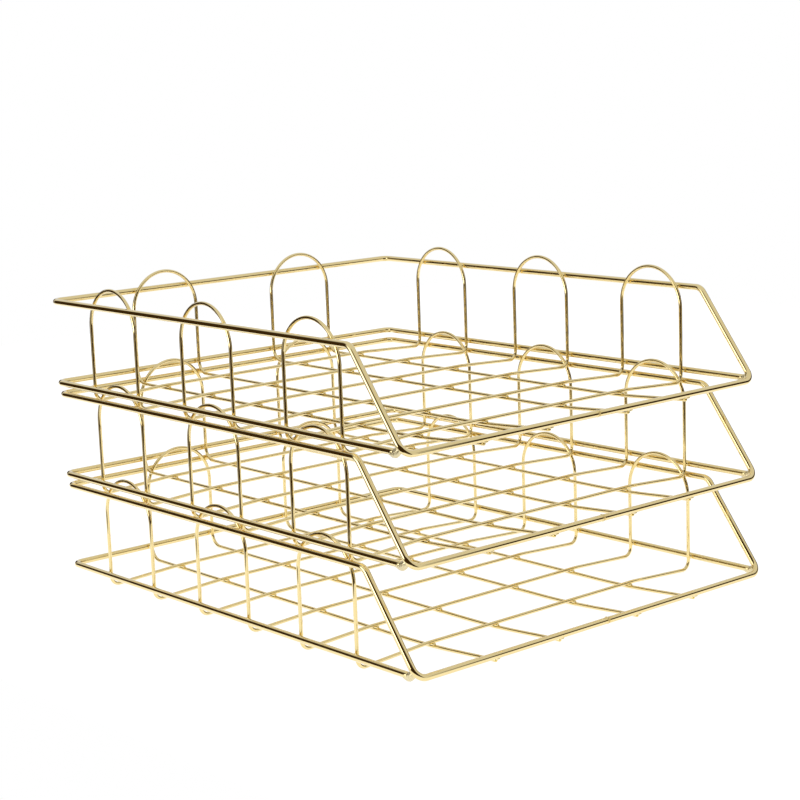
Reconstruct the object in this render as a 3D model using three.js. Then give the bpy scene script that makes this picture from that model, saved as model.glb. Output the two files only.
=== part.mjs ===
import * as THREE from 'three';

// Three alike wire letter trays stacked on each other. Lengths in millimetres, +Z up, +X to the
// right and -Y towards the open front. Each tray is worked out in its own frame: x from the middle,
// y back from its front edge wire and z up from its base wire, all to centre lines.

// Wire stock and the clearance left where two wires are welded or rest on each other.
const frameWire = 3.5;
const meshWire = 2.0;
const wireGap = 0.3;

// Outer frame: the rim wire above, the base wire below.
const trayWidth = 250;
const trayDepth = 304;
const rimHeight = 47.1;
const frontDrop = 0.9;
const slopeRun = 36;
const rimBackRadius = 5;
const baseBackRadius = 5;
const slopeTopRadius = 6;
const slopeFootRadius = 6;
const footWeld = 1.6;

// Hoops: every hoop is a half circle on two legs, and neighbours stand one hoop width apart.
const hoopWidth = 44.2;
const hoopAboveRim = 9.9;
const firstHoopLine = 48;
const sideFoot = 7.25;
const sideFootRadius = 5;
const backFootRadius = 7.5;

// Floor: cross wires lie over the runner wires. The runners rise in a long easy bend towards the
// front edge wire, which lifts the first cross run a little, and end just behind its middle.
const floorLevel = 5;
const runnerPairMiddle = 50.6;
const kneeOffset = 4;
const kneeRadius = 30;
const runnerBendLine = 50;
const runnerBendRadius = 600;
const runnerSetback = 1.2;

// Stack: each tray stands a little behind the one under it, so its side feet rest on the hoops.
const traySetback = 2.1;
const trayNames = ['bottom_tray', 'middle_tray', 'top_tray'];

// Mesh fineness.
const frameSides = 12;
const meshSides = 8;
const hoopSegments = 12;
const bendSegments = 4;
const kneeSegments = 2;
const seatFineness = 3;

const goldSteel = { color: 0xd8b878, roughness: 0.22, metalness: 1 };

// Places that follow from the sizes above.
const halfWidth = trayWidth / 2;
const hoopTop = rimHeight + hoopAboveRim;
const weldReach = (frameWire + meshWire) / 2 + wireGap;
const hoopRadius = hoopWidth / 2;
const sideHoopX = halfWidth - weldReach;
const backHoopY = trayDepth - weldReach;
const crossingReach = meshWire + wireGap;
const runnerLevel = -floorLevel - crossingReach;
const runnerEndLevel = -frontDrop - weldReach;
const outerRunnerX = runnerPairMiddle + hoopRadius;
const innerRunnerX = runnerPairMiddle - hoopRadius;
const runnerRise = (runnerEndLevel - runnerLevel) / runnerBendLine;

// A centre line is a list of corners, each with the radius and segments of its bend. The result is
// the points along it with their directions; a loop also bends at its first and last corner.
function bendPath(corners, closed, fineness = 1) {
  const points = [];
  const count = corners.length;
  const add = (position, direction) => {
    const last = points[points.length - 1];
    if (!last || last.position.distanceTo(position) > 1e-6) points.push({ position, direction });
  };
  for (let i = 0; i < count; i += 1) {
    const here = corners[i].at;
    if (!closed && (i === 0 || i === count - 1)) {
      const other = i === 0 ? corners[1].at : corners[count - 2].at;
      const way = i === 0 ? other.clone().sub(here) : here.clone().sub(other);
      add(here.clone(), way.normalize());
      continue;
    }
    const into = here.clone().sub(corners[(i + count - 1) % count].at).normalize();
    const out = corners[(i + 1) % count].at.clone().sub(here).normalize();
    const turn = into.angleTo(out);
    const radius = corners[i].radius;
    const axis = into.clone().cross(out).normalize();
    const inward = axis.clone().cross(into);
    const start = here.clone().addScaledVector(into, -radius * Math.tan(turn / 2));
    const centre = start.clone().addScaledVector(inward, radius);
    const segments = corners[i].segments * fineness;
    for (let k = 0; k <= segments; k += 1) {
      const angle = (turn * k) / segments;
      const position = centre
        .clone()
        .addScaledVector(inward, -radius * Math.cos(angle))
        .addScaledVector(into, radius * Math.sin(angle));
      add(position, into.clone().applyAxisAngle(axis, angle));
    }
  }
  if (closed && points[0].position.distanceTo(points[points.length - 1].position) < 1e-6) points.pop();
  return points;
}

function corner(x, y, z, radius, segments = bendSegments) {
  return { at: new THREE.Vector3(x, y, z), radius, segments };
}

// Rings of a many-sided section, a flat facing up at the start, carried along without twisting.
function sectionRings(path, thickness, sides) {
  const rings = [];
  const reach = thickness / 2 / Math.cos(Math.PI / sides);
  let up = new THREE.Vector3(0, 0, 1);
  for (let i = 0; i < path.length; i += 1) {
    const direction = path[i].direction;
    if (i > 0) {
      const turn = new THREE.Quaternion().setFromUnitVectors(path[i - 1].direction, direction);
      up = up.clone().applyQuaternion(turn);
    }
    up = up.clone().addScaledVector(direction, -up.dot(direction)).normalize();
    const across = direction.clone().cross(up);
    const ring = [];
    for (let k = 0; k < sides; k += 1) {
      const angle = ((k + 0.5) * 2 * Math.PI) / sides;
      const point = path[i].position
        .clone()
        .addScaledVector(up, reach * Math.cos(angle))
        .addScaledVector(across, reach * Math.sin(angle));
      ring.push(point);
    }
    rings.push(ring);
  }
  return rings;
}

// Skin between neighbouring rings, and two flat cut ends where the wire is not a loop.
function wireGeometry(path, thickness, sides, closed) {
  const rings = sectionRings(path, thickness, sides);
  const positions = rings.flat().flatMap((point) => [point.x, point.y, point.z]);
  const index = [];
  const spans = closed ? rings.length : rings.length - 1;
  for (let i = 0; i < spans; i += 1) {
    const near = i * sides;
    const far = ((i + 1) % rings.length) * sides;
    for (let k = 0; k < sides; k += 1) {
      const next = (k + 1) % sides;
      index.push(near + k, near + next, far + k);
      index.push(near + next, far + next, far + k);
    }
  }
  if (!closed) {
    const last = (rings.length - 1) * sides;
    for (let k = 1; k < sides - 1; k += 1) {
      index.push(0, k + 1, k);
      index.push(last, last + k, last + k + 1);
    }
  }
  const geometry = new THREE.BufferGeometry();
  geometry.setAttribute('position', new THREE.Float32BufferAttribute(positions, 3));
  geometry.setIndex(index);
  return geometry;
}

// Shortest distance from a point to a centre line.
function distanceToPath(point, path, closed) {
  const spans = closed ? path.length : path.length - 1;
  const segment = new THREE.Line3();
  const nearest = new THREE.Vector3();
  let shortest = Infinity;
  for (let i = 0; i < spans; i += 1) {
    segment.set(path[i].position, path[(i + 1) % path.length].position);
    segment.closestPointToPoint(point, true, nearest);
    shortest = Math.min(shortest, nearest.distanceTo(point));
  }
  return shortest;
}

// Rim wire, from the middle of the front edge round to the right: foot of the slope, top of the
// slope, back corner, and the same on the left in turn.
function rimCorners() {
  const corners = [];
  for (const side of [1, -1]) {
    const x = side * halfWidth;
    const rightToLeft = [
      corner(x, 0, -frontDrop, slopeFootRadius),
      corner(x, slopeRun, rimHeight, slopeTopRadius),
      corner(x, trayDepth, rimHeight, rimBackRadius),
    ];
    corners.push(...(side > 0 ? rightToLeft : rightToLeft.reverse()));
  }
  return corners;
}

// Base wire: open at the front, where each cut end stops behind the foot of the rim's slope, a
// weld's length away.
function baseCorners(frontEnd) {
  return [
    corner(-halfWidth, frontEnd, 0),
    corner(-halfWidth, trayDepth, 0, baseBackRadius),
    corner(halfWidth, trayDepth, 0, baseBackRadius),
    corner(halfWidth, frontEnd, 0),
  ];
}

// How far forward the base wire reaches with that length left before the rim's bend.
function baseFrontEnd() {
  const rim = bendPath(rimCorners(), true, seatFineness);
  let meets = 0;
  let clears = slopeRun;
  for (let step = 0; step < 40; step += 1) {
    const tried = (meets + clears) / 2;
    const cutEnd = sectionRings(bendPath(baseCorners(tried), false), frameWire, frameSides)[0];
    const room = Math.min(...cutEnd.map((point) => distanceToPath(point, rim, true)));
    if (room < frameWire / 2 + footWeld) meets = tried;
    else clears = tried;
  }
  return clears;
}

// How far a runner has risen where a floor run at this line crosses it.
function liftAt(line) {
  const bendReach = runnerBendRadius * Math.tan(Math.atan(runnerRise) / 2);
  const intoBend = Math.max(0, runnerBendLine + bendReach - line);
  return runnerBendRadius - Math.sqrt(runnerBendRadius ** 2 - intoBend ** 2);
}

// Cross wire: two floor runs joined by a hoop at each side wall, one closed loop.
function crossCorners(frontLine) {
  const backLine = frontLine + hoopWidth;
  const kneeX = outerRunnerX + kneeOffset;
  const knee = (side, line) => {
    const level = liftAt(line) - floorLevel;
    return corner(side * kneeX, line, level, kneeRadius, kneeSegments);
  };
  const halfLoop = (side, first, second) => [
    knee(side, first),
    corner(side * sideHoopX, first, -sideFoot, sideFootRadius),
    corner(side * sideHoopX, first, hoopTop, hoopRadius, hoopSegments / 2),
    corner(side * sideHoopX, second, hoopTop, hoopRadius, hoopSegments / 2),
    corner(side * sideHoopX, second, -sideFoot, sideFootRadius),
    knee(side, second),
  ];
  return [...halfLoop(1, frontLine, backLine), ...halfLoop(-1, backLine, frontLine)];
}

// Runner wire: a hoop at the back wall whose legs run forward under the cross wires and end cut
// off square under the front edge wire.
function runnerCorners(side) {
  const endLevel = runnerEndLevel - runnerRise * runnerSetback;
  const inner = side * innerRunnerX;
  const outer = side * outerRunnerX;
  const leg = (x) => [
    corner(x, runnerSetback, endLevel),
    corner(x, runnerBendLine, runnerLevel, runnerBendRadius, kneeSegments),
    corner(x, backHoopY, runnerLevel, backFootRadius),
    corner(x, backHoopY, hoopTop, hoopRadius, hoopSegments / 2),
  ];
  return [...leg(inner), ...leg(outer).reverse()];
}

const wires = [
  { name: 'rim_wire', corners: rimCorners(), thickness: frameWire, closed: true },
  { name: 'base_wire', corners: baseCorners(baseFrontEnd()), thickness: frameWire, closed: false },
];
['front', 'middle', 'back'].forEach((place, i) => {
  const corners = crossCorners(firstHoopLine + 2 * i * hoopWidth);
  wires.push({ name: `${place}_cross_wire`, corners, thickness: meshWire, closed: true });
});
for (const [place, side] of [['left', -1], ['right', 1]]) {
  const corners = runnerCorners(side);
  wires.push({ name: `${place}_runner_wire`, corners, thickness: meshWire, closed: false });
}

// Least room left between the wires of one tray and those of the tray standing on it.
function stackRoom(pitch, paths) {
  const point = new THREE.Vector3();
  let room = Infinity;
  for (const upper of paths) {
    for (const lower of paths) {
      const touching = (upper.thickness + lower.thickness) / 2;
      for (const { position } of upper.path) {
        if (position.z + pitch > hoopTop + weldReach) continue;
        point.set(position.x, position.y + traySetback, position.z + pitch);
        room = Math.min(room, distanceToPath(point, lower.path, lower.closed) - touching);
      }
    }
  }
  return room;
}

// Height of one tray above the next: let down from clear above until it rests.
function restingPitch() {
  const settled = wireGap * 0.98;
  const paths = wires.map((wire) => ({
    ...wire,
    path: bendPath(wire.corners, wire.closed, seatFineness),
  }));
  let clears = hoopTop + sideFoot + 2 * meshWire;
  let step = 1;
  while (step > 0.004) {
    if (stackRoom(clears - step, paths) > settled) clears -= step;
    else step /= 2;
  }
  return clears;
}

const pitch = restingPitch();
const stack = new THREE.Group();
stack.name = 'stacking_letter_trays';
let holder = stack;
for (const trayName of trayNames) {
  const tray = new THREE.Group();
  tray.name = trayName;
  if (holder !== stack) tray.position.set(0, traySetback, pitch);
  holder.add(tray);
  for (const wire of wires) {
    const sides = wire.thickness === frameWire ? frameSides : meshSides;
    const path = bendPath(wire.corners, wire.closed);
    const geometry = wireGeometry(path, wire.thickness, sides, wire.closed);
    const mesh = new THREE.Mesh(geometry, new THREE.MeshStandardMaterial(goldSteel));
    mesh.name = `${trayName}_${wire.name}`;
    tray.add(mesh);
  }
  holder = tray;
}

// The part's origin: the middle of the stack's outline, at the level of the desk.
const outline = new THREE.Box3().setFromObject(stack, true);
const middle = outline.getCenter(new THREE.Vector3());
stack.position.set(-middle.x, -middle.y, -outline.min.z);

export default stack;
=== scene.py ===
import math

import bpy
import numpy as np
from mathutils import Matrix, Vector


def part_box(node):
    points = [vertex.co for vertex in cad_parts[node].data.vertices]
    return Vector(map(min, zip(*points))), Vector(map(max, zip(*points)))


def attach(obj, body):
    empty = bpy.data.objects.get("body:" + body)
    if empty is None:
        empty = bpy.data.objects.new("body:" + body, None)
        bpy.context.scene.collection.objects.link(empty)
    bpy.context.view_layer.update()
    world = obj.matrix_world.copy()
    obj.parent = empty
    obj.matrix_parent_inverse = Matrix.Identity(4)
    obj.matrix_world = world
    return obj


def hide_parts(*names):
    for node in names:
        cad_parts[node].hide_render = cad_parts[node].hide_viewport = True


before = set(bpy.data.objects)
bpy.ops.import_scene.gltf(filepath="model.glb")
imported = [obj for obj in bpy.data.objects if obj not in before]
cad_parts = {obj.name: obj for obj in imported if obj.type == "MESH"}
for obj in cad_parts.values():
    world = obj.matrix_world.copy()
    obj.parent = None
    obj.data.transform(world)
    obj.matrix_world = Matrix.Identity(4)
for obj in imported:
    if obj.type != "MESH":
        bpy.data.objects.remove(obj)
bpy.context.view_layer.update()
scene = bpy.context.scene
print("frame loaded")

mm = 0.001
trayNames = ["bottom_tray", "middle_tray", "top_tray"]


# shared tools: colour, nodes and meshes


def hexToLinear(code):  # sRGB hex to linear RGBA
    rgb = np.array([int(code[i : i + 2], 16) for i in (1, 3, 5)]) / 255
    lin = np.where(rgb <= 0.04045, rgb / 12.92, ((rgb + 0.055) / 1.055) ** 2.4)
    return (*lin.tolist(), 1.0)


def grey(level):
    return (level, level, level, 1.0)


def newMaterial(name):
    mat = bpy.data.materials.new(name)
    mat.use_nodes = True
    return mat, mat.node_tree


def addNode(tree, kind, settings=None, **inputs):
    # one node. Its settings are its own properties. An input goes by its label, with _ for a space,
    # or by i and its number, and is given a value or another node's output
    node = tree.nodes.new("ShaderNode" + kind)
    for key, value in (settings or {}).items():
        setattr(node, key, value)
    for key, value in inputs.items():
        numbered = key[0] == "i" and key[1:].isdigit()
        socket = node.inputs[int(key[1:]) if numbered else key.replace("_", " ")]
        if isinstance(value, bpy.types.NodeSocket):
            tree.links.new(value, socket)
        else:
            socket.default_value = value
    return node


def makeObject(name, verts, faces, material, flat=None, coord=None, paintedBounce=None):
    # a mesh from millimetres. Faces are smooth except where flat marks them; coord and the weight of the
    # painted reflection beside each weld are the two attributes that the wires' plating reads
    mesh = bpy.data.meshes.new(name)
    mesh.from_pydata((verts * mm).tolist(), [], faces)
    mesh.polygons.foreach_set("use_smooth", np.ones(len(faces), bool) if flat is None else ~flat)
    if coord is not None:
        layer = mesh.attributes.new("wireCoord", "FLOAT_VECTOR", "CORNER")
        layer.data.foreach_set("vector", coord.astype(np.float32).ravel())
    if paintedBounce is not None:
        layer = mesh.attributes.new("paintedBounceNear", "FLOAT", "POINT")
        layer.data.foreach_set("value", paintedBounce.astype(np.float32))
    mesh.materials.append(material)
    mesh.update()
    obj = bpy.data.objects.new(name, mesh)
    scene.collection.objects.link(obj)
    return obj


def unit(v):
    return v / np.linalg.norm(v, axis=-1, keepdims=True)


def tubeFaces(rings, sides, ends, turned=False):
    # faces of a tube whose vertices are numbered ring by ring: quads between neighbouring rings, and
    # on a capped one triangles from each end ring to a pole, the two poles numbered after the rings.
    # The ends may also be joined to each other, or open. Turned faces look the other way
    i, k = np.meshgrid(np.arange(rings if ends == "joined" else rings - 1), np.arange(sides), indexing="ij")
    j, n = (i + 1) % rings, (k + 1) % sides
    quads = np.stack([i * sides + k, i * sides + n, j * sides + n, j * sides + k], -1).reshape(-1, 4)
    k, n = k[0], n[0]
    start, poles = (rings - 1) * sides, rings * sides
    near = np.stack([np.full(sides, poles), n, k], -1)
    far = np.stack([np.full(sides, poles + 1), start + k, start + n], -1)
    caps = np.concatenate([near, far])
    if turned:
        quads, caps = quads[:, [0, 3, 2, 1]], caps[:, [0, 2, 1]]
    return quads.tolist() + (caps.tolist() if ends == "capped" else [])


def joined(meshes):
    # several meshes as one, each one's face numbers moved on past the vertices before it
    allVerts, allFaces, start = [], [], 0
    for verts, faces in meshes:
        allVerts.append(verts)
        allFaces += [[start + i for i in face] for face in faces]
        start += len(verts)
    return np.concatenate(allVerts), allFaces


# materials

plating = {
    "pale": "#F5E1A4",  # plating on straight wire
    "deep": "#EFD896",  # where it lies a little thicker
    "cloudSize": 14.0,  # mm over which it changes from one to the other
    "smooth": 0.01,  # roughness of the polished wire, least and most
    "rough": 0.05,
    "drawLines": 0.35,  # mm between drawing marks; drawn coarser than the real ones so that they show
    "drawChange": 0.012,  # changes in a mark per mm along the wire
    "drawRange": (0.3, 0.7),  # part of the marks' noise that the roughness follows
    "drawBump": 0.03,
    "drawHeight": 0.02,  # mm
    "paintedBounce": "#F0D070",  # painted reflection: straw yellow beside a weld, for light bounced between the crossing wires
    "paintedBounceReach": 2.2,  # mm from a weld's middle
    "nearWeldDull": 0.06,  # roughness added beside a weld, where the reflection is painted
    "lacquer": 1.0,
    "lacquerDull": 0.03,
    "seamAt": 3.9,  # mm right of the middle, where the rim wire's ends are joined
    "seamHalf": 0.8,  # mm, half width of the dull ring there
    "seamSoft": 0.2,  # softness of its edges, as a share of the half width
    "seamBefore": -145.0,  # mm; only the front edges lie in front of this
    "seamDull": 0.65,  # roughness that the ring adds
}
spotFinish = {"deep": "#F4DC92", "pale": "#FBEEC0", "smooth": 0.12, "rough": 0.22}
footFinish = {"deep": "#DCCB98", "pale": "#F0E4BC", "smooth": 0.36, "rough": 0.46}
weldGrain = {"size": 0.7, "height": 0.06, "bump": 0.1}  # size and height in mm


def finishMetal(tree, colour, rough, normal):
    # plated metal under clear lacquer; what is the same all over is set on the shader's own sockets
    inputs = tree.nodes["Principled BSDF"].inputs
    tree.links.new(colour, inputs["Base Color"])
    tree.links.new(rough, inputs["Roughness"])
    tree.links.new(normal, inputs["Normal"])
    inputs["Metallic"].default_value = 1.0
    inputs["Coat Weight"].default_value = plating["lacquer"]
    inputs["Coat Roughness"].default_value = plating["lacquerDull"]


def platedWire():
    # bright brass plating on drawn steel wire, polished and lacquered: mirror-like, paler where the
    # lacquer is seen edge-on, with faint marks along the wire from the drawing die, and a painted
    # reflection beside each weld, straw yellow and duller, for light bounced between the crossing wires.
    # The rim wire's ends meet in a dull ring near the front edge's middle
    p = plating
    mat, tree = newMaterial("polished brass-plated steel wire")
    place = addNode(tree, "TexCoord").outputs["Object"]
    onWire = addNode(tree, "Attribute", {"attribute_name": "wireCoord"}).outputs["Vector"]
    paintedBounce = addNode(tree, "Attribute", {"attribute_name": "paintedBounceNear"}).outputs["Fac"]
    pale, deep, bounceYellow = (hexToLinear(p[key]) for key in ("pale", "deep", "paintedBounce"))
    scale = 1 / (p["cloudSize"] * mm)
    cloud = addNode(tree, "TexNoise", Vector=place, Scale=scale, Detail=3.0, Roughness=0.55)
    tone = addNode(tree, "Mix", {"data_type": "RGBA"}, i0=cloud.outputs["Fac"], i6=pale, i7=deep)
    # painted reflection: straw yellow mixed over the plating beside each weld
    colour = addNode(tree, "Mix", {"data_type": "RGBA"}, i0=paintedBounce, i6=tone.outputs[2], i7=bounceYellow)

    scale = (1 / p["drawLines"], 1 / p["drawLines"], p["drawChange"])
    stretch = addNode(tree, "Mapping", Vector=onWire, Scale=scale).outputs["Vector"]
    marks = addNode(tree, "TexNoise", Vector=stretch, Scale=1.0, Detail=2.0, Roughness=0.6).outputs["Fac"]
    low, high = p["drawRange"]
    least, most = p["smooth"], p["rough"]
    dull = addNode(tree, "MapRange", Value=marks, From_Min=low, From_Max=high, To_Min=least, To_Max=most)
    bump = addNode(tree, "Bump", Strength=p["drawBump"], Distance=p["drawHeight"] * mm, Height=marks)

    # roughness of the marks, plus more beside each weld where the reflection is painted, plus seamDull *
    # ring
    parts = addNode(tree, "SeparateXYZ", Vector=place)
    off = addNode(tree, "Math", {"operation": "SUBTRACT"}, i0=parts.outputs["X"], i1=p["seamAt"] * mm)
    off = addNode(tree, "Math", {"operation": "ABSOLUTE"}, i0=off.outputs[0])
    outer, inner = ((1 + s * p["seamSoft"]) * p["seamHalf"] * mm for s in (1, -1))
    ring = addNode(tree, "MapRange", Value=off.outputs[0], From_Min=outer, From_Max=inner).outputs["Result"]
    limit = p["seamBefore"] * mm
    ahead = addNode(tree, "Math", {"operation": "LESS_THAN"}, i0=parts.outputs["Y"], i1=limit).outputs[0]
    seam = addNode(tree, "Math", {"operation": "MULTIPLY"}, i0=ring, i1=ahead).outputs[0]
    rough = dull.outputs["Result"]
    for part, gain in ((paintedBounce, p["nearWeldDull"]), (seam, p["seamDull"])):
        rough = addNode(tree, "Math", {"operation": "MULTIPLY_ADD"}, i0=part, i1=gain, i2=rough).outputs[0]
    finishMetal(tree, colour.outputs[2], rough, bump.outputs["Normal"])
    return mat


def weldMetal(name, finish):
    # the squeezed-out metal of a weld under the same plating: softly lumpy and duller than the wire
    mat, tree = newMaterial(name)
    place = addNode(tree, "TexCoord").outputs["Object"]
    scale, height = 1 / (weldGrain["size"] * mm), weldGrain["height"] * mm
    lumps = addNode(tree, "TexNoise", Vector=place, Scale=scale, Detail=3.0, Roughness=0.6).outputs["Fac"]
    deep, pale = (hexToLinear(finish[key]) for key in ("deep", "pale"))
    tone = addNode(tree, "Mix", {"data_type": "RGBA"}, i0=lumps, i6=deep, i7=pale)
    dull = addNode(tree, "MapRange", Value=lumps, To_Min=finish["smooth"], To_Max=finish["rough"])
    bump = addNode(tree, "Bump", Strength=weldGrain["bump"], Distance=height, Height=lumps)
    finishMetal(tree, tone.outputs[2], dull.outputs["Result"], bump.outputs["Normal"])
    return mat


wireMaterial = platedWire()
spotMaterial = weldMetal("brass-plated spot weld", spotFinish)
footMaterial = weldMetal("brass-plated fillet weld", footFinish)

# wires of one tray, in millimetres: x from its middle, y back from the front edge wire's centre line
# and z up from the base wire's. A corner is x, y, z and, where the wire bends there, the bend's radius

frameWire = {
    "radius": 1.75,
    "sides": 24,
    "halfWidth": 125.0,
    "depth": 304.0,
    "rimHeight": 47.1,
    "frontDrop": 0.9,  # the front edge lies this much under the base wire
    "slopeRun": 36.0,  # how far back a slope's top corner stands from its foot
    "footBend": 6.0,
    "slopeTopBend": 6.0,
    "backBend": 5.0,
    "cutEdge": 0.5,  # rounding of a cut end
}


def trayOrigin(tray):  # where a tray's own zero lies, from its packed base wire
    low, high = (np.array(c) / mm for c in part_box(f"{tray}_base_wire"))
    return np.array([0, high[1] - frameWire["radius"] - frameWire["depth"], low[2] + frameWire["radius"]])


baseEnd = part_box("bottom_tray_base_wire")[0][1] / mm - trayOrigin("bottom_tray")[1]


def rimCorners():
    w, f = frameWire["halfWidth"], frameWire
    right = [
        (w, 0, -f["frontDrop"], f["footBend"]),
        (w, f["slopeRun"], f["rimHeight"], f["slopeTopBend"]),
        (w, f["depth"], f["rimHeight"], f["backBend"]),
    ]
    return right + [(-x, y, z, r) for x, y, z, r in reversed(right)]


def baseCorners():
    w, back, bend = frameWire["halfWidth"], frameWire["depth"], frameWire["backBend"]
    return [(-w, baseEnd, 0), (-w, back, 0, bend), (w, back, 0, bend), (w, baseEnd, 0)]


meshWire = {
    "radius": 1.0,
    "sides": 16,
    "wallReach": 3.05,  # frame wire's centre line to the mesh wire's
    "hoopRadius": 22.1,
    "hoopTop": 57.0,
    "firstLine": 48.0,  # the front one of the six floor runs from wall to wall
    "runnerMiddle": 50.6,  # half way between the two legs of a runner wire
    "floor": -5.0,  # height of the floor runs from wall to wall
    "sideFoot": -7.25,  # where such a run and its leg at the wall would meet
    "sideFootBend": 5.0,
    "backFootBend": 7.5,
    "runnerLevel": -7.3,
    "knee": 4.0,  # a floor run starts down to its side foot this far past the outer runner
    "kneeBend": 30.0,
    "riseLine": 50.0,  # where the runners start up towards the front edge
    "riseBend": 600.0,
    "setback": 1.2,  # of the runners' cut ends
    "cutEdge": 0.75,
}
hoopLines = meshWire["firstLine"] + 2 * meshWire["hoopRadius"] * np.arange(6)
runnerInner = meshWire["runnerMiddle"] - meshWire["hoopRadius"]
runnerOuter = meshWire["runnerMiddle"] + meshWire["hoopRadius"]
runnerLines = np.array([-runnerInner, -runnerOuter, runnerInner, runnerOuter])
runnerRise = -frameWire["frontDrop"] - meshWire["wallReach"] - meshWire["runnerLevel"]
runnerSlope = runnerRise / meshWire["riseLine"]


def floorLevel(line):
    # a floor run's height: the floor, lifted where the runner under it has begun its bend, by
    # bend - sqrt(bend^2 - way into the bend^2)
    m = meshWire
    into = max(0.0, m["riseLine"] + m["riseBend"] * math.tan(math.atan(runnerSlope) / 2) - line)
    return m["floor"] + m["riseBend"] - math.sqrt(m["riseBend"] ** 2 - into**2)


def crossCorners(near, far):
    m = meshWire
    wall = frameWire["halfWidth"] - m["wallReach"]
    knee = runnerOuter + m["knee"]

    def half(s, a, b):
        return [
            (s * knee, a, floorLevel(a), m["kneeBend"]),
            (s * wall, a, m["sideFoot"], m["sideFootBend"]),
            (s * wall, a, m["hoopTop"], m["hoopRadius"]),
            (s * wall, b, m["hoopTop"], m["hoopRadius"]),
            (s * wall, b, m["sideFoot"], m["sideFootBend"]),
            (s * knee, b, floorLevel(b), m["kneeBend"]),
        ]

    return half(1, near, far) + half(-1, far, near)


def runnerCorners(side):
    m = meshWire
    wall = frameWire["depth"] - m["wallReach"]
    endLevel = m["runnerLevel"] + runnerSlope * (m["riseLine"] - m["setback"])

    def leg(x):
        return [
            (x, m["setback"], endLevel),
            (x, m["riseLine"], m["runnerLevel"], m["riseBend"]),
            (x, wall, m["runnerLevel"], m["backFootBend"]),
            (x, wall, m["hoopTop"], m["hoopRadius"]),
        ]

    return leg(side * runnerInner) + leg(side * runnerOuter)[::-1]


sweep = {
    "straightStep": 2.5,  # mm between the rings of a straight run
    "bendStep": 1.0,  # mm between the rings of a bend
    "bendLeast": 10,  # steps in the smallest bend
    "cutRings": 5,  # rings over a cut end's rounded edge
    "same": 1e-4,  # mm; two points closer than this are one
}


def bentLine(corners, closed):
    # straight runs joined by circular bends. A bend turns the way "into" towards "out" about an axis
    # square to both: point = start + radius * inward * (1 - cos(a)) + radius * into * sin(a), and the
    # section's up vector turns about the same axis, so that the section never twists on the wire
    at = np.array([c[:3] for c in corners], float)
    count = len(at)
    first = unit(at[0] - at[-1] if closed else at[1] - at[0])
    up = np.array([0.0, 0.0, 1.0])
    up = unit(up - first * (up @ first))
    last = None if closed else at[0]
    points, ways, ups = ([], [], []) if closed else ([at[:1]], [first[None]], [up[None]])

    def straight(a, b, way):  # even steps between two points, without the points themselves
        steps = max(math.ceil(np.linalg.norm(b - a) / sweep["straightStep"]), 1)
        t = np.arange(1, steps)[:, None] / steps
        points.append(a + (b - a) * t)
        ways.append(np.repeat(way[None], len(t), 0))
        ups.append(np.repeat(up[None], len(t), 0))

    for i in range(count) if closed else range(1, count - 1):
        into = unit(at[i] - at[i - 1])
        out = unit(at[(i + 1) % count] - at[i])
        turn = math.acos(np.clip(into @ out, -1, 1))
        axis = unit(np.cross(into, out))
        inward = np.cross(axis, into)
        radius = corners[i][3]
        start = at[i] - into * radius * math.tan(turn / 2)
        if last is not None:
            straight(last, start, into)
        steps = max(int(turn * radius / sweep["bendStep"]), sweep["bendLeast"])
        a = np.linspace(0, turn, steps + 1)[:, None]
        points.append(start + inward * radius * (1 - np.cos(a)) + into * radius * np.sin(a))
        ways.append(into * np.cos(a) + inward * np.sin(a))
        ups.append(up * np.cos(a) + np.cross(axis, up) * np.sin(a) + axis * (axis @ up) * (1 - np.cos(a)))
        last, up = points[-1][-1], ups[-1][-1]
    if closed:
        straight(last, points[0][0], first)
    else:
        final = unit(at[-1] - at[-2])
        straight(last, at[-1], final)
        points.append(at[-1:])
        ways.append(final[None])
        ups.append(up[None])
    points, ways, ups = (np.concatenate(x) for x in (points, ways, ups))
    apart = np.linalg.norm(points - np.roll(points, 1, 0), axis=1) > sweep["same"]
    apart[0] = apart[0] or not closed
    return points[apart], ways[apart], ups[apart]


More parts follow.
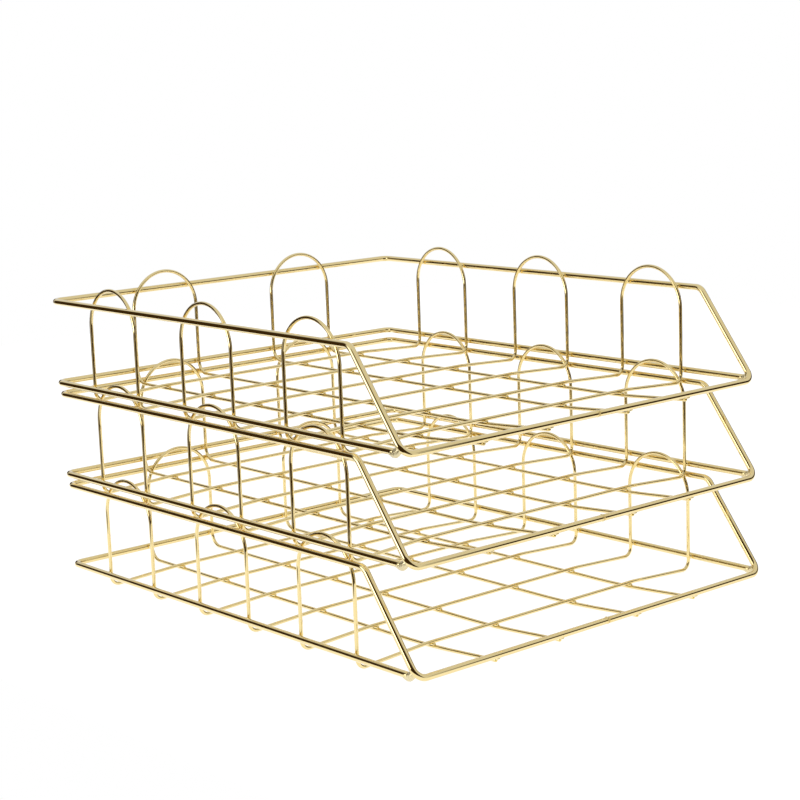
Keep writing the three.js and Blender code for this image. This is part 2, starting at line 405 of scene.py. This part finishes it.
def sweptWire(line, closed, wire):
    # a round profile carried along the line: vertex = point + radius * (up * cos(b) + across * sin(b)).
    # A cut end closes in a flat disc with a rounded edge: going in by cutEdge * (1 - cos(c)), the
    # profile's radius is radius - cutEdge * (1 - sin(c)), for c from 0 to a quarter turn. Each face
    # corner also gets its place on the wire: radius * cos(b), radius * sin(b) and the way along it
    points, ways, ups = line
    radius, sides, cutEdge = wire["radius"], wire["sides"], wire["cutEdge"]
    scale = np.ones(len(points))
    if not closed:
        extra = sweep["cutRings"] - 1
        c = np.linspace(0, np.pi / 2, extra + 1)[:, None]
        inset = cutEdge * (1 - np.cos(c))
        edge = 1 - cutEdge / radius * (1 - np.sin(c[:, 0]))
        head = points[:1] + ways[:1] * inset
        tail = points[-1:] - ways[-1:] * inset[::-1]
        points = np.concatenate([head, points[1:-1], tail])
        ways, ups = (np.pad(v, ((extra, extra), (0, 0)), "edge") for v in (ways, ups))
        scale = np.concatenate([edge, scale[1:-1], edge[::-1]])
    rings = len(points)
    b = (np.arange(sides) + 0.5) * 2 * np.pi / sides
    across = np.cross(ways, ups)
    out = ups[:, None] * np.cos(b)[None, :, None] + across[:, None] * np.sin(b)[None, :, None]
    verts = (points[:, None] + out * (radius * scale)[:, None, None]).reshape(-1, 3)
    faces = tubeFaces(rings, sides, "joined" if closed else "capped")

    along = np.concatenate([[0], np.cumsum(np.linalg.norm(np.diff(points, axis=0), axis=1))])
    along = np.append(along, along[-1] + np.linalg.norm(points[0] - points[-1]))
    aside = np.stack([np.cos(b), np.sin(b)], -1) * radius
    i, k = np.meshgrid(np.arange(rings if closed else rings - 1), np.arange(sides), indexing="ij")
    n = (k + 1) % sides
    corners = [(k, i), (n, i), (n, i + 1), (k, i + 1)]
    coord = np.stack([np.concatenate([aside[m], along[row][..., None]], -1) for m, row in corners], 2)
    coord = coord.reshape(-1, 3)
    flat = np.array([len(face) == 3 for face in faces])
    if not closed:
        verts = np.concatenate([verts, points[:1], points[-1:]])
        coord = np.concatenate([coord, np.repeat([[0, 0, 0], [0, 0, along[-1]]], sides * 3, 0)])
    return verts, faces, flat, coord


# welds of one tray. A bead's three half sizes lie along one wire, along the other and between them

weldBead = {
    "thin": (1.25, 2.1, 0.8),
    "thick": (1.5, 1.35, 0.7),
    "seam": (0.75, 1.9, 2.05),  # upset ring where the rim wire's two ends meet
    "lumps": 0.02,
    "rings": 7,
    "sides": 14,
    "endLine": 0.6,  # of the beads at the runners' cut ends
    "seamLine": 0.2,
}


def weldList():
    # every weld's place, the ways of the two wires that meet there, and the kind of bead
    m, f, x, y, z = meshWire, frameWire, *np.eye(3)
    between = f["radius"] + (m["wallReach"] - f["radius"] - m["radius"]) / 2
    rise = f["rimHeight"] - (m["hoopTop"] - m["hoopRadius"])
    spread = math.sqrt(m["hoopRadius"] ** 2 - rise**2)
    welds = []
    for line in hoopLines:  # the floor's crossings
        level = floorLevel(line) + (m["runnerLevel"] - m["floor"]) / 2
        for runner in runnerLines:
            welds.append(((runner, line, level), x, y, "thin"))
    for runner in runnerLines:  # the runners under the front edge, and at the back of the base wire
        welds.append(((runner, weldBead["endLine"], -f["frontDrop"] - between), x, y, "thick"))
        welds.append(((runner, f["depth"] - between, 0), x, z, "thick"))
    middles = (hoopLines[0::2] + hoopLines[1::2]) / 2
    for s in (-1, 1):  # the hoops' legs at the base wire, and the hoops at the rim
        wall = s * (f["halfWidth"] - between)
        for line in hoopLines:
            welds.append(((wall, line, 0), y, z, "thick"))
        for middle in middles:
            for t in (-1, 1):
                lean = unit(np.array([0, -t * rise, spread]))
                welds.append(((wall, middle + t * spread, f["rimHeight"]), y, lean, "thick"))
        middle = s * m["runnerMiddle"]
        for t in (-1, 1):
            lean = unit(np.array([-t * rise, 0, spread]))
            welds.append(((middle + t * spread, f["depth"] - between, f["rimHeight"]), x, lean, "thick"))
    welds.append(((plating["seamAt"], weldBead["seamLine"], -f["frontDrop"]), x, y, "seam"))
    return welds


def beadBlob(at, a, b, size, seed):
    # an egg on the two wires' contact: its half sizes times sin(v) * cos(u), sin(v) * sin(u) and
    # cos(v), with u round it and v from pole to pole, times a slow ripple,
    # 1 + lumps * sin(3u + seed) * sin(2v + 1.7 * seed)
    rings, sides = weldBead["rings"], weldBead["sides"]
    fall, turn = np.linspace(0, np.pi, rings + 2)[1:-1], np.arange(sides) * 2 * np.pi / sides
    v, u = np.meshgrid(fall, turn, indexing="ij")
    ripple = 1 + weldBead["lumps"] * np.sin(3 * u + seed) * np.sin(2 * v + 1.7 * seed)
    egg = np.stack([np.sin(v) * np.cos(u), np.sin(v) * np.sin(u), np.cos(v)], -1) * size
    egg = (egg * ripple[..., None]).reshape(-1, 3)
    poles = [[0, 0, size[2]], [0, 0, -size[2]]]
    n = unit(np.cross(a, b))
    basis = np.stack([a, np.cross(n, a), n])
    verts = np.concatenate([egg, poles]) @ basis + at
    return verts, tubeFaces(rings, sides, "capped", turned=True)


footWeld = {
    # along the weld, from the base wire's cut end up to the rim wire: y past the cut end, z, half
    # thickness in the slope's plane, half thickness across
    "past": [3.6, 2.4, 1.0, -0.3, -1.8, -3.1, -4.0],
    "level": [-0.1, -0.35, -0.6, -0.5, 0.2, 1.4, 2.4],
    "thick": [1.5, 1.85, 2.2, 2.4, 2.2, 1.7, 1.2],
    "across": [1.5, 1.74, 1.74, 1.74, 1.74, 1.6, 1.1],
    "rings": 17,
    "sides": 16,
}


def footWeldShape(side):
    # an oval profile carried along a smooth line in the slope's plane: vertex = line + across * x *
    # cos(b) + thick * square to the line * sin(b), the line a cubic through the stations above
    w = footWeld
    count = len(w["past"])
    t = np.linspace(0, count - 1, w["rings"])

    def smooth(values):  # a cubic from station to station, with the slope at each from its neighbours
        v = np.array([2 * values[0] - values[1]] + values + [2 * values[-1] - values[-2]], float)
        i = np.minimum(t.astype(int), count - 2)
        u, a, b, c, d = t - i, v[i], v[i + 1], v[i + 2], v[i + 3]
        return b + 0.5 * u * (c - a + u * (2 * a - 5 * b + 4 * c - d + u * (3 * (b - c) + d - a)))

    past, level, thick, across = (smooth(w[key]) for key in ("past", "level", "thick", "across"))
    way = unit(np.stack([np.gradient(past), np.gradient(level)], -1))
    b = np.arange(w["sides"]) * 2 * np.pi / w["sides"]
    x = side * frameWire["halfWidth"] + across[:, None] * np.cos(b)
    y = baseEnd + past[:, None] + way[:, 1:] * thick[:, None] * np.sin(b)
    z = level[:, None] - way[:, :1] * thick[:, None] * np.sin(b)
    verts = np.stack([x, y, z], -1).reshape(-1, 3)
    poles = [[side * frameWire["halfWidth"], baseEnd + past[r], level[r]] for r in (0, -1)]
    return np.concatenate([verts, poles]), tubeFaces(w["rings"], w["sides"], "capped")


# the three trays, all from one tray's shapes

welds = weldList()
weldPlaces = np.array([w[0] for w in welds], float)
wirePlan = [
    ("rim_wire", rimCorners(), True, frameWire),
    ("base_wire", baseCorners(), False, frameWire),
    ("front_cross_wire", crossCorners(*hoopLines[0:2]), True, meshWire),
    ("middle_cross_wire", crossCorners(*hoopLines[2:4]), True, meshWire),
    ("back_cross_wire", crossCorners(*hoopLines[4:6]), True, meshWire),
    ("left_runner_wire", runnerCorners(-1), False, meshWire),
    ("right_runner_wire", runnerCorners(1), False, meshWire),
]
wireShapes = []
for kind, corners, closed, wire in wirePlan:
    verts, faces, flat, coord = sweptWire(bentLine(corners, closed), closed, wire)
    away = np.linalg.norm(verts[:, None] - weldPlaces[None], axis=2).min(1)
    # weight of the painted reflection: 1 at a weld, falling off over a few mm
    wireShapes.append((kind, verts, faces, flat, coord, np.exp(-((away / plating["paintedBounceReach"]) ** 2))))

beads = [beadBlob(np.array(at), a, b, weldBead[kind], seed) for seed, (at, a, b, kind) in enumerate(welds)]
weldShapes = [
    ("spot_welds", spotMaterial, *joined(beads)),
    ("foot_welds", footMaterial, *joined([footWeldShape(side) for side in (-1, 1)])),
]
print("wire shapes worked out")

for tray in trayNames:
    origin = trayOrigin(tray)
    for kind, verts, faces, flat, coord, paintedBounce in wireShapes:
        piece = makeObject(f"{tray}_{kind}_round", verts + origin, faces, wireMaterial, flat, coord, paintedBounce)
        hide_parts(f"{tray}_{kind}")
        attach(piece, tray)
    for kind, material, verts, faces in weldShapes:
        piece = makeObject(f"{tray}_{kind}", verts + origin, faces, material)
        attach(piece, tray)
    print(tray, "made")

# floor, light and camera

studio = {
    "board": "#8C8C8B",
    "boardRoughness": 0.9,
    "boardGloss": 0.1,
    "backlight": 0.88,  # the board's own glow, which drowns the shadows
    "boardReach": {"left": 0.25, "right": 1.0, "front": 0.365, "back": 1.0},  # m from the stack's middle
    "wallRadius": 0.95,  # the tent wall, in metres
    "wallLow": -1.0,  # the cloth hangs past the table top
    "wallHigh": 1.5,
    "wallMiddle": 0.078,  # height that the patches' angles are measured from
    "wallTurns": 96,
    "wallRows": 12,
    "tent": 0.74,  # how bright the white cloth is
    "dim": (0.042, 0.022, 0.006, 1),  # the room seen through the gaps in the tent
    "strip": 5.5,  # the low strip lamp in the tent's left side
    # patches of the wall in degrees, each with the softness of its edges: the middle from +X
    # towards +Y, its half width, and its lower and upper edge
    "stripPatch": {
        "toward": 168.5,
        "half": 23.5,
        "sideSoft": 4,
        "low": 0,
        "lowSoft": 3,
        "top": 10.5,
        "topSoft": 14,
    },
    "gaps": [
        {"toward": 131, "half": 20, "sideSoft": 5, "top": 41, "topSoft": 12},
        {"toward": 234.5, "half": 42, "sideSoft": 4, "top": 39.8, "topSoft": 2.5},
        {"toward": 226.5, "half": 53, "sideSoft": 5, "top": 0, "topSoft": 3},
        {"toward": 330, "half": 30, "sideSoft": 3, "top": 19.5, "topSoft": 2},
        {"toward": 2, "half": 13, "sideSoft": 3, "top": 21, "topSoft": 4},
        {"toward": 88, "half": 13, "sideSoft": 3, "top": 21, "topSoft": 4},
    ],
    "fill": 0.6,  # radiance of the lamp overhead
    "fillSize": 3.4,
    "fillPlace": (0.2, 0.3, 2.2),
}


def backlitBoard():
    # the plain table top: a flat rectangle of opal acrylic lit from below, as used to lose shadows
    reach = studio["boardReach"]
    x, y = (-reach["left"], reach["right"]), (-reach["front"], reach["back"])
    corners = np.array([[x[0], y[0], 0], [x[1], y[0], 0], [x[1], y[1], 0], [x[0], y[1], 0]])
    mat, tree = newMaterial("backlit opal acrylic")
    inputs = tree.nodes["Principled BSDF"].inputs
    inputs["Base Color"].default_value = hexToLinear(studio["board"])
    inputs["Roughness"].default_value = studio["boardRoughness"]
    inputs["Specular IOR Level"].default_value = studio["boardGloss"]
    inputs["Emission Color"].default_value = grey(1.0)
    inputs["Emission Strength"].default_value = studio["backlight"]
    makeObject("floor", corners / mm, [[0, 1, 2, 3]], mat)


def fillLight():
    # a wide soft lamp straight above, which the wires don't mirror; watts = radiance * pi * area
    data = bpy.data.lights.new("fill_light", "AREA")
    data.shape = "SQUARE"
    data.size = studio["fillSize"]
    data.energy = studio["fill"] * math.pi * studio["fillSize"] ** 2
    obj = bpy.data.objects.new("fill_light", data)
    obj.location = studio["fillPlace"]
    obj.visible_camera = False
    obj.visible_glossy = False
    scene.collection.objects.link(obj)


def tentPatch(tree, level, height, patch):
    # 1 inside a patch of the tent wall and 0 outside it, with soft edges: a step of the cosine of
    # the turn from its middle, times a step of the height at its upper and at its lower edge
    a = math.radians(patch["toward"])
    middle = (math.cos(a), math.sin(a), 0)
    turn = addNode(tree, "VectorMath", {"operation": "DOT_PRODUCT"}, i0=level, i1=middle).outputs["Value"]
    outer, inner = (math.cos(math.radians(patch["half"] + s * patch["sideSoft"])) for s in (1, -1))
    steps = [(turn, outer, inner)]
    for edge, s in (("top", 1), ("low", -1)):
        if edge in patch:
            past, within = (math.sin(math.radians(patch[edge] + t * patch[edge + "Soft"])) for t in (s, -s))
            steps.append((height, past, within))
    smooth = {"interpolation_type": "SMOOTHSTEP"}
    shape = 1.0
    for value, low, high in steps:
        step = addNode(tree, "MapRange", smooth, Value=value, From_Min=low, From_Max=high).outputs["Result"]
        shape = addNode(tree, "Math", {"operation": "MULTIPLY"}, i0=shape, i1=step).outputs[0]
    return shape


def lightTent():
    # an upright round wall of white cloth about the stack, with a strip lamp and gaps into a dim
    # room, the widest one round the camera's stand: point = (r * cos(a), r * sin(a), height).
    # It glows by itself, and the wires mirror it; the camera doesn't see it and it casts no shadow
    turns, rows, r = studio["wallTurns"], studio["wallRows"], studio["wallRadius"]
    heights = np.linspace(studio["wallLow"], studio["wallHigh"], rows)
    a, z = np.meshgrid(np.arange(turns) * 2 * np.pi / turns, heights)
    verts = np.stack([r * np.cos(a), r * np.sin(a), z], -1).reshape(-1, 3)
    mat, tree = newMaterial("white tent cloth")
    place = addNode(tree, "TexCoord").outputs["Object"]
    middle = (0, 0, studio["wallMiddle"])
    away = addNode(tree, "VectorMath", {"operation": "SUBTRACT"}, i0=place, i1=middle).outputs["Vector"]
    way = addNode(tree, "VectorMath", {"operation": "NORMALIZE"}, i0=away).outputs["Vector"]
    parts = addNode(tree, "SeparateXYZ", Vector=way).outputs
    flat = addNode(tree, "CombineXYZ", X=parts["X"], Y=parts["Y"]).outputs["Vector"]
    level = addNode(tree, "VectorMath", {"operation": "NORMALIZE"}, i0=flat).outputs["Vector"]
    patches = [(grey(studio["strip"]), studio["stripPatch"])]
    patches += [(studio["dim"], gap) for gap in studio["gaps"]]
    seen = grey(studio["tent"])
    for colour, patch in patches:
        inside = tentPatch(tree, level, parts["Z"], patch)
        seen = addNode(tree, "Mix", {"data_type": "RGBA"}, i0=inside, i6=seen, i7=colour).outputs[2]
    glow = addNode(tree, "Emission", Color=seen)
    tree.links.new(glow.outputs[0], tree.nodes["Material Output"].inputs["Surface"])
    wall = makeObject("light_tent", verts / mm, tubeFaces(rows, turns, "open", turned=True), mat)
    wall.visible_camera = False
    wall.visible_shadow = False


def brightRoom():
    # above the tent wall the wires mirror more white cloth; seen directly it is plain white
    world = bpy.data.worlds.new("studio")
    scene.world = world
    world.use_nodes = True
    tree = world.node_tree
    direct = addNode(tree, "LightPath").outputs["Is Camera Ray"]
    seen = addNode(tree, "Mix", {"data_type": "RGBA"}, i0=direct, i6=grey(studio["tent"]), i7=grey(1.0))
    tree.links.new(seen.outputs[2], tree.nodes["Background"].inputs["Color"])


backlitBoard()
fillLight()
lightTent()
brightRoom()

# the camera, from the fit of the wires to the photograph: millimetres in the bottom tray's frame

view = {
    "focalPixels": 1946.43,
    "framePixels": 800,
    "sensor": 36.0,
    "clip": (0.02, 60.0),  # m
    "place": (-693.033, -661.535, 293.831),
    "right": (0.756452, -0.653076, -0.035675),
    "down": (-0.145355, -0.114682, -0.982711),
    "ahead": (0.637693, 0.748559, -0.181679),
}
cameraData = bpy.data.cameras.new("camera")
cameraData.sensor_width = view["sensor"]
cameraData.lens = view["focalPixels"] / view["framePixels"] * view["sensor"]
cameraData.clip_start, cameraData.clip_end = view["clip"]
camera = bpy.data.objects.new("camera", cameraData)
place = (np.array(view["place"]) + trayOrigin("bottom_tray")) * mm
axes = np.stack([view["right"], -np.array(view["down"]), -np.array(view["ahead"])], 1)
camera.matrix_world = Matrix.Translation(place.tolist()) @ Matrix(axes.tolist()).to_4x4()
scene.collection.objects.link(camera)
scene.camera = camera
scene.view_settings.view_transform = "Standard"
print("floor, light and camera set")
